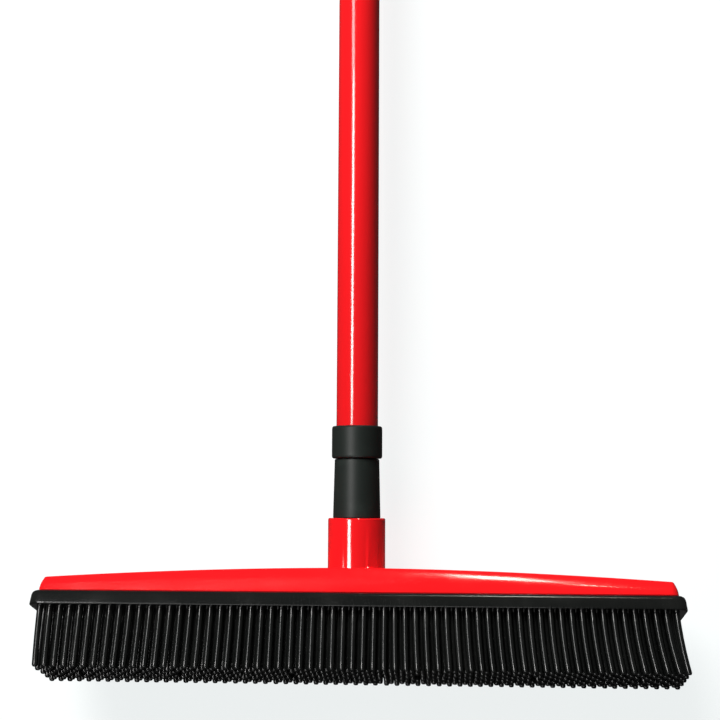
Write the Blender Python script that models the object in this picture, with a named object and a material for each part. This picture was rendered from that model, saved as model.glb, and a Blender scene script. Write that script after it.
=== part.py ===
"""Rubber push broom on a two-part telescopic handle.

The handle's axis is Z and the centre of the hanging eye is the origin, so the broom hangs
below it. The head's own frame leans back by HEAD_TILT from the handle's, as its socket is
angled towards the user, who is on the -Y side. X runs along the head.
"""

import math

import bmesh
import bpy
from mathutils import Vector
from mathutils.geometry import delaunay_2d_cdt

MM = 0.001

# Fits
GAP = 0.3 * MM
RUNNING_GAP = 0.35 * MM
TELESCOPE_CLEARANCE = 1.0 * MM
CAM_PLAY = 0.7 * MM
HEAD_CLEARANCE = 0.05 * MM

# Handle tubes
OUTER_RADIUS = 11 * MM
OUTER_WALL = 0.5 * MM
OUTER_LENGTH = 620 * MM
INNER_RADIUS = OUTER_RADIUS - OUTER_WALL - TELESCOPE_CLEARANCE
INNER_WALL = 0.4 * MM
OVERLAP = 90 * MM
LOWER_ROOM = 80 * MM
EXTENSION = OUTER_LENGTH - OVERLAP - LOWER_ROOM
BUSH_LAP = 14 * MM
BUSH_RISE = 16 * MM
BUSH_WALL = 1.9 * MM

# Rubber pad
LIP_LENGTH = 333 * MM
LIP_DEPTH = 44 * MM
LIP_CORNER = 6 * MM
LIP_HEIGHT = 7.9 * MM
LIP_ROUND = 1.6 * MM
LIP_DRAFT = 0.8 * MM
PAD_FLOOR = 3.6 * MM
LIP_OVERHANG = 4.0 * MM
FINGER_PITCH = 5.19 * MM
ROW_PITCH = 4 * MM
FINGER_ROOT = 2.9 * MM
FINGER_TIP = 2.2 * MM
FINGER_LENGTH = 32.4 * MM
FINGER_SPLAY = 3.0 * MM

# Head housing
HOUSING_INSET = 3.5 * MM
HOUSING_END_HEIGHT = 7.5 * MM
HOUSING_MID_HEIGHT = 13.6 * MM
HOUSING_CORNER = 4.5 * MM
HOUSING_DRAFT = 2.3 * MM
HOUSING_FILLET = 1.8 * MM
HOUSING_WALL = 2.2 * MM
RIB_THICKNESS = 1.6 * MM
RIB_COUNT = 8

# Threaded spigot and the angled socket that takes it
HEAD_TILT = math.radians(17.5)
SOCKET_FOOT = 43.8 * MM
SOCKET_FOOT_Y = 4 * MM
SOCKET_FLOOR = 9.8 * MM
SOCKET_BORE_DEPTH = SOCKET_FOOT - SOCKET_FLOOR
SPIGOT_RADIUS = OUTER_RADIUS - 1.2 * MM
SPIGOT_LENGTH = SOCKET_BORE_DEPTH - 8 * MM
SOCKET_RADIUS = SPIGOT_RADIUS + 5.2 * MM
SOCKET_EDGE = 0.7 * MM

# Core plate and its screws
PLATE_THICKNESS = 2.5 * MM
SCREW_RADIUS = 1.5 * MM
SCREW_HEAD_RADIUS = ROW_PITCH - FINGER_ROOT / 2 - HEAD_CLEARANCE
SCREW_HEAD_HEIGHT = 1.7 * MM
SCREW_REACH = 5.4 * MM
BOSS_RADIUS = 3.6 * MM
SCREW_SHARES = (0.19, 0.55, 0.87)

# Ferrule and collar
THREAD_PITCH = 5 * MM
THREAD_DEPTH = 1.2 * MM
FERRULE_LENGTH = 30.6 * MM
FERRULE_NECK_RADIUS = OUTER_RADIUS + 0.75 * MM
FERRULE_TAPER = 0.7 * MM
FERRULE_FOOT_RADIUS = FERRULE_NECK_RADIUS + FERRULE_TAPER
FERRULE_INSERT = 34 * MM
FERRULE_WALL = 3 * MM
COLLAR_HEIGHT = 16.9 * MM
COLLAR_WALL = 2.0 * MM
COLLAR_ROUND = 1.3 * MM
PIN_RADIUS = 1.5 * MM

# Cam lock inside the outer tube
PLUG_LENGTH = 26 * MM
PLUG_FLANGE = 3 * MM
CAM_PIN_RADIUS = 3.5 * MM
CAM_OFFSET = 1.0 * MM
CAM_RING_HEIGHT = 12 * MM
CAM_RING_BORE = CAM_PIN_RADIUS + CAM_OFFSET + CAM_PLAY
CAM_RING_SLIT = 2 * MM
CAM_SCREW_RADIUS = 1.5 * MM
CAM_SCREW_HEAD = CAM_RING_BORE + 1.3 * MM
CAM_SCREW_HEAD_HEIGHT = 2 * MM
CAM_SCREW_LENGTH = 9 * MM

# Grip and hanging eye
GRIP_CLEARANCE = 3 * MM
GRIP_LENGTH = 110 * MM
GRIP_RADIUS = 14 * MM
GRIP_GROOVE = 0.8 * MM
GRIP_GROOVES = 7
CAP_SHOULDER = 9 * MM
CAP_PLUG_LENGTH = 22 * MM
EYE_RADIUS = 4 * MM
EYE_OUTER_RADIUS = 10 * MM
EYE_THICKNESS = 6 * MM
EYE_RISE = 18 * MM

# Heights along the handle, measured up from the socket's rim
COLLAR_FOOT = GAP + FERRULE_LENGTH + GAP
OUTER_TOP = COLLAR_FOOT + OUTER_LENGTH
INNER_FOOT = OUTER_TOP - EXTENSION - OVERLAP
GRIP_FOOT = OUTER_TOP + BUSH_RISE + GRIP_CLEARANCE
GRIP_TOP = GRIP_FOOT + GRIP_LENGTH
EYE_HEIGHT = GRIP_TOP + GAP + EYE_RISE

# Heights in the head's frame, measured up from the housing's foot
PAD_TOP = -GAP
PAD_UNDERSIDE = -LIP_HEIGHT
PLATE_FOOT = PAD_UNDERSIDE + PAD_FLOOR + GAP
PLATE_TOP = PLATE_FOOT + PLATE_THICKNESS
FINGER_ENDS = PAD_UNDERSIDE - FINGER_LENGTH

ROUND_SIDES = 28
SMALL_SIDES = 16


def clear_scene():
    for obj in list(bpy.data.objects):
        bpy.data.objects.remove(obj, do_unlink=True)


def finish(name, colour, roughness, metallic=0.0):
    """A Principled material."""
    material = bpy.data.materials.new(name)
    material.use_nodes = True
    shader = material.node_tree.nodes["Principled BSDF"]
    shader.inputs["Base Color"].default_value = (*colour, 1.0)
    shader.inputs["Roughness"].default_value = roughness
    shader.inputs["Metallic"].default_value = metallic
    material.diffuse_color = (*colour, 1.0)
    return material


def empty(name, parent=None, location=(0, 0, 0), tilt=0.0):
    """A frame to build in: turned by tilt about X, then placed."""
    frame = bpy.data.objects.new(name, None)
    bpy.context.scene.collection.objects.link(frame)
    frame.parent = parent
    frame.location = location
    frame.rotation_euler = (tilt, 0, 0)
    return frame


def solid(name, points, faces, parent, material):
    """A closed mesh object, its faces turned outwards and its round sides smooth."""
    mesh = bpy.data.meshes.new(name)
    shape = bmesh.new()
    corners = [shape.verts.new(point) for point in points]
    for face in faces:
        shape.faces.new([corners[index] for index in face])
    bmesh.ops.recalc_face_normals(shape, faces=shape.faces)
    shape.to_mesh(mesh)
    shape.free()
    mesh.materials.append(material)
    mesh.shade_smooth()
    mesh.set_sharp_from_angle(angle=math.radians(35))
    obj = bpy.data.objects.new(name, mesh)
    bpy.context.scene.collection.objects.link(obj)
    obj.parent = parent
    return obj


def helper(obj):
    """Marks a shape that is only added to or cut from another."""
    obj.hide_render = True
    obj.display_type = "WIRE"
    return obj


def combine(obj, other, operation):
    """Adds a Boolean that joins the other shape to the object, or cuts it away."""
    modifier = obj.modifiers.new(f"{operation.lower()}_{other.name}", "BOOLEAN")
    modifier.operation = operation
    modifier.object = helper(other)


def turned(name, profile, parent, material, sides=ROUND_SIDES, centre=(0, 0), radius_at=None):
    """Turns a profile of (radius, height) points about Z.

    A profile that starts and ends on the axis makes a solid; any other is closed into a ring.
    radius_at, if given, returns each point's radius from (radius, height, angle).
    """
    points, rings = [], []
    for radius, height in profile:
        count = 1 if radius == 0 else sides
        rings.append(range(len(points), len(points) + count))
        for step in range(count):
            angle = 2 * math.pi * step / sides
            reach = radius_at(radius, height, angle) if radius_at and radius else radius
            x = centre[0] + reach * math.cos(angle)
            y = centre[1] + reach * math.sin(angle)
            points.append((x, y, height))
    pairs = list(zip(rings, rings[1:]))
    if profile[0][0] > 0:
        pairs.append((rings[-1], rings[0]))
    faces = []
    for low, high in pairs:
        for step in range(sides):
            after = (step + 1) % sides
            corners = [low[step % len(low)], low[after % len(low)]]
            corners += [high[after % len(high)], high[step % len(high)]]
            faces.append(list(dict.fromkeys(corners)))
    return solid(name, points, faces, parent, material)


def cylinder(name, radius, low, high, parent, material, sides=SMALL_SIDES, centre=(0, 0)):
    profile = [(0, low), (radius, low), (radius, high), (0, high)]
    return turned(name, profile, parent, material, sides, centre)


def cross_pin(name, radius, half_length, height, parent, material):
    """A round pin along Y through the handle's axis."""
    pin = cylinder(name, radius, -half_length, half_length, parent, material)
    pin.rotation_euler = (math.pi / 2, 0, 0)
    pin.location = (0, 0, height)
    return pin


def box(name, low, high, parent, material):
    points = [(x, y, z) for x in (low[0], high[0]) for y in (low[1], high[1]) for z in (low[2], high[2])]
    faces = [(0, 1, 3, 2), (4, 6, 7, 5), (0, 4, 5, 1), (2, 3, 7, 6), (0, 2, 6, 4), (1, 5, 7, 3)]
    return solid(name, points, faces, parent, material)


def arc(centre_x, centre_y, radius, start, end, steps):
    """Points on an arc from one angle to another, in degrees."""
    angles = [math.radians(start + (end - start) * step / steps) for step in range(steps + 1)]
    return [(centre_x + radius * math.cos(a), centre_y + radius * math.sin(a)) for a in angles]


def front_edge(length, depth, corner, stations):
    """The front half of a rounded rectangle, from its left end to its right end."""
    x, y = length / 2 - corner, corner - depth / 2
    left = arc(-x, y, corner, 180, 270, 4)
    right = arc(x, y, corner, 270, 360, 4)
    straight = [(-x + 2 * x * step / stations, -depth / 2) for step in range(1, stations)]
    return left + straight + right


def side_faces(layer_count, count, first=0):
    """Quads between layers of points that each go once round, from the point numbered first."""
    faces = []
    for start in range(first, first + (layer_count - 1) * count, count):
        for step in range(count):
            after = (step + 1) % count
            faces.append((start + step, start + after, start + count + after, start + count + step))
    return faces


def end_faces(start, count):
    """Strips that close one layer, each from its front half straight across to its back half."""
    return [
        (start + step, start + step + 1, start + count - 2 - step, start + count - 1 - step)
        for step in range(count // 2 - 1)
    ]


def layered(name, size, corner, layers, parent, material, stations=1):
    """A rounded block, mirror-like front to back, built of outlines from its foot to its top.

    Each layer is (inset, height), where height is a number or a function of x.
    """
    points = []
    for inset, height in layers:
        radius = max(corner - inset, 0.2 * MM)
        front = front_edge(size[0] - 2 * inset, size[1] - 2 * inset, radius, stations)
        outline = front + [(x, -y) for x, y in reversed(front)]
        points += [(x, y, height(x) if callable(height) else height) for x, y in outline]
    count = len(points) // len(layers)
    faces = side_faces(len(layers), count)
    faces += end_faces(0, count) + end_faces(len(points) - count, count)
    return solid(name, points, faces, parent, material)


def crown(x):
    """Height of the housing's top above its foot: highest at the middle, falling to both ends."""
    share = min(abs(x) / (LIP_LENGTH / 2 - HOUSING_INSET), 1)
    return HOUSING_END_HEIGHT + (HOUSING_MID_HEIGHT - HOUSING_END_HEIGHT) * (1 - share**1.8)


def housing_size():
    return LIP_LENGTH - 2 * HOUSING_INSET, LIP_DEPTH - 2 * HOUSING_INSET


def housing_shell(head, material):
    """The outer skin, with drafted sides and a rounded top edge, and its hollow."""
    fillet = []
    for step in range(5):
        turn = math.radians(90 * step / 4)
        inset = HOUSING_DRAFT + HOUSING_FILLET * (1 - math.cos(turn))
        drop = HOUSING_FILLET * (1 - math.sin(turn))
        fillet.append((inset, lambda x, drop=drop: crown(x) - drop))
    layers = [(0, 0)] + fillet
    housing = layered("head_housing", housing_size(), HOUSING_CORNER, layers, head, material, 18)
    inside = [(HOUSING_WALL, -1 * MM), (HOUSING_WALL, 0)]
    inside.append((HOUSING_WALL + HOUSING_DRAFT, lambda x: crown(x) - HOUSING_WALL))
    hollow = layered("housing_hollow", housing_size(), HOUSING_CORNER, inside, head, material, 18)
    combine(housing, hollow, "DIFFERENCE")
    return housing


def add_ribs(housing, head, material):
    """Cross ribs inside the housing, evenly spaced on both sides of the socket."""
    length, depth = housing_size()
    reach = depth / 2 - HOUSING_WALL / 2 - HOUSING_DRAFT
    spacing = length / (RIB_COUNT + 1)
    for index in range(RIB_COUNT):
        x = (index - (RIB_COUNT - 1) / 2) * spacing
        low = (x - RIB_THICKNESS / 2, -reach, 0.5 * MM)
        high = (x + RIB_THICKNESS / 2, reach, crown(abs(x) + RIB_THICKNESS) - HOUSING_WALL / 2)
        combine(housing, box(f"rib_{index}", low, high, head, material), "UNION")


def add_socket(housing, head, handle, material):
    """The angled socket: planed level under the housing and flush behind it, joined, then bored."""
    profile = [
        (0, -SOCKET_FOOT - SOCKET_RADIUS),
        (SOCKET_RADIUS + 0.3 * MM, -SOCKET_FOOT - SOCKET_RADIUS),
        (SOCKET_RADIUS, -SOCKET_EDGE),
        (SOCKET_RADIUS - SOCKET_EDGE, 0),
        (0, 0),
    ]
    socket = turned("socket_body", profile, handle, material)
    reach = 2 * SOCKET_FOOT
    below = box("below_socket", (-reach, -reach, -reach), (reach, reach, 0.5 * MM), head, material)
    combine(socket, below, "DIFFERENCE")
    back = housing_size()[1] / 2 - 0.2 * MM
    low, high = (-reach, back, -reach), (reach, reach, HOUSING_MID_HEIGHT)
    combine(socket, box("behind_socket", low, high, head, material), "DIFFERENCE")
    combine(housing, socket, "UNION")
    bore_radius = SPIGOT_RADIUS + GAP
    bore = cylinder("socket_bore", bore_radius, -SOCKET_BORE_DEPTH, MM, handle, material, 24)
    combine(housing, bore, "DIFFERENCE")


def add_bosses(housing, head, material):
    """Screw bosses that reach down to the core plate, with their pilot holes."""
    for column in screw_columns():
        x = column * FINGER_PITCH
        top = crown(abs(x) + BOSS_RADIUS) - HOUSING_WALL / 2
        place = (x, 0)
        foot = PLATE_TOP + GAP
        boss = cylinder(f"boss_{column}", BOSS_RADIUS, foot, top, head, material, 12, place)
        combine(housing, boss, "UNION")
        hole_top = SCREW_REACH + GAP
        radius = SCREW_RADIUS + GAP
        pilot = cylinder(f"pilot_{column}", radius, foot - MM, hole_top, head, material, 8, place)
        combine(housing, pilot, "DIFFERENCE")


def core_plate(head, material):
    """Stiff plate that lies in the pad's pocket and spreads the screws' pull."""
    inset = LIP_OVERHANG + HOUSING_WALL + GAP
    size = (LIP_LENGTH - 2 * inset, LIP_DEPTH - 2 * inset)
    edge = 0.4 * MM
    layers = [(edge, PLATE_FOOT), (0, PLATE_FOOT + edge), (0, PLATE_TOP - edge), (edge, PLATE_TOP)]
    plate = layered("core_plate", size, HOUSING_CORNER, layers, head, material)
    for column in screw_columns():
        place = (column * FINGER_PITCH, 0)
        low, high, radius = PLATE_FOOT - MM, PLATE_TOP + MM, SCREW_RADIUS + GAP
        hole = cylinder(f"plate_hole_{column}", radius, low, high, head, material, 8, place)
        combine(plate, hole, "DIFFERENCE")
    return plate


def finger_counts():
    """Columns and rows of fingers on each side of the middle one."""
    length = LIP_LENGTH - 2 * LIP_OVERHANG - FINGER_ROOT
    depth = LIP_DEPTH - 2 * LIP_OVERHANG - FINGER_ROOT
    return int(length / FINGER_PITCH / 2), int(depth / ROW_PITCH / 2)


def screw_columns():
    """Columns of the middle row that hold a screw in place of a finger."""
    columns, _ = finger_counts()
    right = [round(share * columns) for share in SCREW_SHARES]
    return [-column for column in reversed(right)] + right


def finger_places():
    """(x, y) centres of the fingers: alternate rows are set half a pitch across."""
    columns, rows = finger_counts()
    places = []
    for row in range(-rows, rows + 1):
        half = 0.5 if row % 2 else 0
        for column in range(-columns, columns + 1 - math.ceil(half)):
            if not (row == 0 and column in screw_columns()):
                places.append(((column + half) * FINGER_PITCH, row * ROW_PITCH))
    return places


def pad_layers():
    """Outlines of the pad from the top edge down to the underside."""
    layers = []
    for step in range(4):
        turn = math.radians(30 * step)
        inset = LIP_DRAFT + LIP_ROUND * (1 - math.sin(turn))
        layers.append((inset, PAD_TOP - LIP_ROUND * (1 - math.cos(turn))))
    layers.append((0, PAD_UNDERSIDE + LIP_ROUND / 2))
    layers.append((LIP_ROUND / 2, PAD_UNDERSIDE))
    return layers


def finger_corners(x, y):
    """The four corners of a finger's root and of its tip, which splays out by the cube of x."""
    lean = FINGER_SPLAY * (x / (LIP_LENGTH / 2)) ** 3
    corners = ((-0.5, -0.5), (0.5, -0.5), (0.5, 0.5), (-0.5, 0.5))
    root = [(x + a * FINGER_ROOT, y + b * FINGER_ROOT, PAD_UNDERSIDE) for a, b in corners]
    tip = [(x + lean + a * FINGER_TIP, y + b * FINGER_TIP, FINGER_ENDS) for a, b in corners]
    return root, tip


def pad_body(head, material):
    """The lipped block and all its fingers as one surface."""
    layers = pad_layers()
    points = []
    for inset, height in layers:
        radius = LIP_CORNER - inset
        front = front_edge(LIP_LENGTH - 2 * inset, LIP_DEPTH - 2 * inset, radius, 1)
        points += [(x, y, height) for x, y in front + [(x, -y) for x, y in reversed(front)]]
    count = len(points) // len(layers)
    faces = side_faces(len(layers), count) + end_faces(0, count)
    rim = list(range(len(points) - count, len(points)))
    roots = []
    for x, y in finger_places():
        start = len(points)
        root, tip = finger_corners(x, y)
        points += root + tip
        roots.append(list(range(start, start + 4)))
        faces += side_faces(2, 4, start) + [tuple(range(start + 4, start + 8))]
    faces += underside(points, rim, roots)
    return solid("brush_pad", points, faces, head, material)


def brush_pad(head, material):
    """The moulded rubber pad, with the pocket for the core plate and the screws' holes."""
    pad = pad_body(head, material)
    inset = LIP_OVERHANG + HOUSING_WALL
    size = (LIP_LENGTH - 2 * inset, LIP_DEPTH - 2 * inset)
    layers = [(0, PLATE_FOOT - GAP), (0, PAD_TOP + MM)]
    combine(pad, layered("pad_pocket", size, HOUSING_CORNER, layers, head, material), "DIFFERENCE")
    for column in screw_columns():
        place = (column * FINGER_PITCH, 0)
        low, high, radius = PAD_UNDERSIDE - MM, PLATE_FOOT, SCREW_RADIUS + GAP
        hole = cylinder(f"pad_hole_{column}", radius, low, high, head, material, 8, place)
        combine(pad, hole, "DIFFERENCE")
    return pad


def underside(points, rim, roots):
    """Triangles of the flat underside between its rim and the fingers' roots."""
    used = rim + [index for root in roots for index in root]
    place = {index: position for position, index in enumerate(used)}
    flat = [Vector(points[index][:2]) for index in used]
    outlines = [[place[index] for index in loop] for loop in [rim] + roots]
    found = delaunay_2d_cdt(flat, [], outlines, 1, 1e-7)
    triangles, origins, sources = found[2], found[3], found[5]
    kept = []
    for triangle, source in zip(triangles, sources):
        if all(face == 0 for face in source):
            kept.append(tuple(used[origins[corner][0]] for corner in triangle))
    return kept


def pad_screws(head, material):
    """Pan-head screws driven up through the pad and the plate into the bosses."""
    under = PAD_UNDERSIDE - GAP
    profile = [
        (0, under - SCREW_HEAD_HEIGHT),
        (SCREW_HEAD_RADIUS * 0.7, under - SCREW_HEAD_HEIGHT),
        (SCREW_HEAD_RADIUS, under - SCREW_HEAD_HEIGHT * 0.5),
        (SCREW_HEAD_RADIUS, under),
        (SCREW_RADIUS, under),
        (SCREW_RADIUS, SCREW_REACH - SCREW_RADIUS),
        (0, SCREW_REACH),
    ]
    for number, column in enumerate(screw_columns(), 1):
        turned(f"pad_screw_{number}", profile, head, material, 10, (column * FINGER_PITCH, 0))


def thread(radius, height, angle):
    """Spigot radius under a helical ridge: full at the crest, less by THREAD_DEPTH at the root."""
    turn = (height / THREAD_PITCH - angle / (2 * math.pi)) % 1
    ridge = 1 - min(1, max(0, 3 * abs(turn - 0.5) - 0.35))
    inside = -SPIGOT_LENGTH + 2 * MM < height < -THREAD_PITCH / 4
    return radius - THREAD_DEPTH * (1 - ridge) if inside else radius


def ferrule(handle, material):
    """Tapered end piece: threaded spigot below, hollow insert above that plugs the tube."""
    insert_radius = OUTER_RADIUS - OUTER_WALL - GAP
    top = COLLAR_FOOT + FERRULE_INSERT
    root = SPIGOT_RADIUS - THREAD_DEPTH
    rows = 16
    spigot = [(root, -SPIGOT_LENGTH)]
    for row in range(rows + 1):
        spigot.append((SPIGOT_RADIUS, -SPIGOT_LENGTH + 1.2 * MM + (SPIGOT_LENGTH - 1.2 * MM) * row / rows))
    spigot[-1] = (SPIGOT_RADIUS, GAP)
    bore = insert_radius - FERRULE_WALL
    profile = [(0, -SPIGOT_LENGTH)] + spigot
    profile += [
        (FERRULE_FOOT_RADIUS - 0.4 * MM, GAP),
        (FERRULE_FOOT_RADIUS, GAP + 0.4 * MM),
        (FERRULE_NECK_RADIUS, GAP + FERRULE_LENGTH),
        (insert_radius, GAP + FERRULE_LENGTH),
        (insert_radius, top - MM),
        (insert_radius - MM, top),
        (bore, top),
        (bore, FERRULE_LENGTH / 2),
        (bore - FERRULE_WALL / 2, -SPIGOT_LENGTH / 2),
        (0, -SPIGOT_LENGTH / 2),
    ]
    piece = turned("ferrule", profile, handle, material, 20, radius_at=thread)
    hole = cross_pin("ferrule_hole", PIN_RADIUS + GAP, 2 * OUTER_RADIUS, pin_height(), handle, material)
    combine(piece, hole, "DIFFERENCE")
    return piece


def pin_height():
    return COLLAR_FOOT + COLLAR_HEIGHT / 2


def collar(handle, material):
    """Round-edged ring that hides the foot of the outer tube and its pin."""
    inner = OUTER_RADIUS + GAP
    outer = inner + COLLAR_WALL
    top = COLLAR_FOOT + COLLAR_HEIGHT
    upper = arc(outer - COLLAR_ROUND, top - COLLAR_ROUND, COLLAR_ROUND, 0, 80, 2)
    lower = arc(outer - COLLAR_ROUND, COLLAR_FOOT + COLLAR_ROUND, COLLAR_ROUND, -80, 0, 2)
    profile = [(inner, COLLAR_FOOT)] + lower + upper + [(inner, top)]
    return turned("tube_collar", profile, handle, material)


def outer_tube(handle, material):
    """Painted lower tube, drilled across for the ferrule's pin."""
    bore = OUTER_RADIUS - OUTER_WALL
    outer = OUTER_RADIUS
    profile = [(bore, COLLAR_FOOT), (outer, COLLAR_FOOT), (outer, OUTER_TOP), (bore, OUTER_TOP)]
    tube = turned("outer_tube", profile, handle, material)
    hole = cross_pin("tube_hole", PIN_RADIUS + GAP, 2 * OUTER_RADIUS, pin_height(), handle, material)
    combine(tube, hole, "DIFFERENCE")
    return tube


def guide_bush(handle, material):
    """Sleeve over the outer tube's top end that guides the inner tube."""
    outer = OUTER_RADIUS + GAP + BUSH_WALL
    foot, top = OUTER_TOP - BUSH_LAP, OUTER_TOP + BUSH_RISE
    guide = INNER_RADIUS + RUNNING_GAP
    neck = guide + BUSH_WALL
    profile = [
        (OUTER_RADIUS + GAP, foot),
        (outer - 0.8 * MM, foot),
        (outer, foot + 0.8 * MM),
        (outer, OUTER_TOP + 4 * MM),
        (neck + 0.8 * MM, top - MM),
        (neck, top),
        (guide, top),
        (guide, OUTER_TOP + GAP),
        (OUTER_RADIUS + GAP, OUTER_TOP + GAP),
    ]
    return turned("guide_bush", profile, handle, material)


def inner_tube(handle, material):
    bore = INNER_RADIUS - INNER_WALL
    profile = [(bore, INNER_FOOT), (INNER_RADIUS, INNER_FOOT), (INNER_RADIUS, GRIP_TOP), (bore, GRIP_TOP)]
    tube = turned("inner_tube", profile, handle, material)
    height = INNER_FOOT + PLUG_LENGTH / 2
    hole = cross_pin("inner_hole", PIN_RADIUS + GAP, 2 * INNER_RADIUS, height, handle, material)
    combine(tube, hole, "DIFFERENCE")
    return tube


def cam_levels():
    """Heights of the lock from the inner tube down: flange foot, pin foot and screw head foot."""
    flange_foot = INNER_FOOT - GAP - PLUG_FLANGE
    pin_foot = flange_foot - CAM_RING_HEIGHT - 2 * GAP
    return flange_foot, pin_foot, pin_foot - GAP - CAM_SCREW_HEAD_HEIGHT


def lock_plug(handle, material):
    """Plug in the foot of the inner tube, with the off-centre pin that works the cam ring."""
    flange_foot, pin_foot, _ = cam_levels()
    body = INNER_RADIUS - INNER_WALL - GAP
    flange = OUTER_RADIUS - OUTER_WALL - 2 * GAP
    profile = [
        (0, flange_foot),
        (flange, flange_foot),
        (flange, INNER_FOOT - GAP),
        (body, INNER_FOOT - GAP),
        (body, INNER_FOOT + PLUG_LENGTH - MM),
        (body - MM, INNER_FOOT + PLUG_LENGTH),
        (0, INNER_FOOT + PLUG_LENGTH),
    ]
    plug = turned("lock_plug", profile, handle, material, 24)
    place = (CAM_OFFSET, 0)
    pin = cylinder("cam_pin", CAM_PIN_RADIUS, pin_foot, flange_foot + MM, handle, material, 16, place)
    combine(plug, pin, "UNION")
    hole_top = pin_foot + CAM_SCREW_LENGTH + GAP
    radius = CAM_SCREW_RADIUS + GAP
    hole = cylinder("screw_hole", radius, pin_foot - MM, hole_top, handle, material, 12, place)
    combine(plug, hole, "DIFFERENCE")
    height = INNER_FOOT + PLUG_LENGTH / 2
    cross = cross_pin("plug_hole", PIN_RADIUS + GAP, 2 * INNER_RADIUS, height, handle, material)
    combine(plug, cross, "DIFFERENCE")
    return plug


def cam_screw(handle, material):
    """Broad-headed screw that keeps the cam ring on its pin."""
    _, pin_foot, head_foot = cam_levels()
    profile = [
        (0, head_foot),
        (CAM_SCREW_HEAD - 0.6 * MM, head_foot),
        (CAM_SCREW_HEAD, head_foot + 0.6 * MM),
        (CAM_SCREW_HEAD, pin_foot - GAP),
        (CAM_SCREW_RADIUS, pin_foot - GAP),
        (CAM_SCREW_RADIUS, pin_foot + CAM_SCREW_LENGTH - MM),
        (0, pin_foot + CAM_SCREW_LENGTH),
    ]
    return turned("cam_screw", profile, handle, material, 16, (CAM_OFFSET, 0))


def cam_ring(handle, material):
    """Split ring that grips the outer tube from inside."""
    flange_foot, pin_foot, _ = cam_levels()
    foot, top = pin_foot + GAP, flange_foot - GAP
    outer = OUTER_RADIUS - OUTER_WALL - GAP
    edge = 0.5 * MM
    profile = [
        (CAM_RING_BORE, foot),
        (outer - edge, foot),
        (outer, foot + edge),
        (outer, top - edge),
        (outer - edge, top),
        (CAM_RING_BORE, top),
    ]
    ring = turned("cam_ring", profile, handle, material, 24)
    low = (-2 * OUTER_RADIUS, -CAM_RING_SLIT / 2, foot - MM)
    slit = box("cam_slit", low, (0, CAM_RING_SLIT / 2, top + MM), handle, material)
    combine(ring, slit, "DIFFERENCE")
    return ring


def hand_grip(handle, material):
    """Soft sleeve on the inner tube, with shallow grooves round it."""
    inner = INNER_RADIUS + GAP
    edge = 2 * MM
    outline = [(inner, GRIP_FOOT), (GRIP_RADIUS - edge, GRIP_FOOT), (GRIP_RADIUS, GRIP_FOOT + edge)]
    spacing = (GRIP_LENGTH - 4 * edge) / (GRIP_GROOVES + 1)
    for groove in range(1, GRIP_GROOVES + 1):
        height = GRIP_FOOT + 2 * edge + groove * spacing
        half = spacing / 5
        outline += [(GRIP_RADIUS, height - half), (GRIP_RADIUS - GRIP_GROOVE, height)]
        outline += [(GRIP_RADIUS, height + half)]
    outline += [(GRIP_RADIUS, GRIP_TOP - edge), (GRIP_RADIUS - edge, GRIP_TOP), (inner, GRIP_TOP)]
    return turned("hand_grip", outline, handle, material, 20)


def end_cap(handle, material):
    """Plug with a domed shoulder and a flat eye to hang the broom by."""
    foot = GRIP_TOP + GAP
    body = INNER_RADIUS - INNER_WALL - GAP
    dome = arc(0, 0, GRIP_RADIUS - MM, 10, 80, 4)
    squash = (CAP_SHOULDER - 2 * MM) / (GRIP_RADIUS - MM)
    plug_foot = foot - CAP_PLUG_LENGTH
    profile = [(0, plug_foot), (body - MM, plug_foot), (body, plug_foot + MM)]
    profile += [(body, foot), (GRIP_RADIUS - MM, foot)]
    profile += [(x, foot + 2 * MM + y * squash) for x, y in dome]
    profile += [(0, foot + CAP_SHOULDER)]
    cap = turned("end_cap", profile, handle, material, 24)
    combine(cap, eye(handle, material), "UNION")
    hole = cross_pin("eye_hole", EYE_RADIUS, 2 * EYE_THICKNESS, EYE_HEIGHT, handle, material)
    combine(cap, hole, "DIFFERENCE")
    return cap


def eye(handle, material):
    """The flat tab round the hole: straight sides with a round top."""
    bottom = GRIP_TOP + GAP + CAP_SHOULDER / 2
    outline = [(EYE_OUTER_RADIUS, bottom)] + arc(0, EYE_HEIGHT, EYE_OUTER_RADIUS, 0, 180, 16)
    outline += [(-EYE_OUTER_RADIUS, bottom)]
    half, edge = EYE_THICKNESS / 2, 0.8 * MM
    points = []
    inner = 1 - edge / EYE_OUTER_RADIUS
    for y, scale in ((-half, inner), (edge - half, 1), (half - edge, 1), (half, inner)):
        points += [(x * scale, y, EYE_HEIGHT + (z - EYE_HEIGHT) * scale) for x, z in outline]
    count = len(outline)
    faces = [tuple(range(count)), tuple(range(len(points) - count, len(points)))]
    faces += side_faces(4, count)
    return solid("eye_tab", points, faces, handle, material)


def build_head(handle, red, rubber, plastic, steel):
    drop = -SOCKET_FOOT + SOCKET_FOOT_Y * math.sin(HEAD_TILT)
    place = (0, -SOCKET_FOOT_Y * math.cos(HEAD_TILT), drop)
    head = empty("head_frame", handle, place, -HEAD_TILT)
    housing = housing_shell(head, red)
    add_ribs(housing, head, red)
    add_socket(housing, head, handle, red)
    add_bosses(housing, head, red)
    core_plate(head, plastic)
    brush_pad(head, rubber)
    pad_screws(head, steel)


def build_lower_handle(handle, paint, plastic, steel):
    ferrule(handle, plastic)
    collar(handle, plastic)
    outer_tube(handle, paint)
    half_length = OUTER_RADIUS - OUTER_WALL
    cross_pin("ferrule_pin", PIN_RADIUS, half_length, pin_height(), handle, steel)
    guide_bush(handle, plastic)


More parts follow.
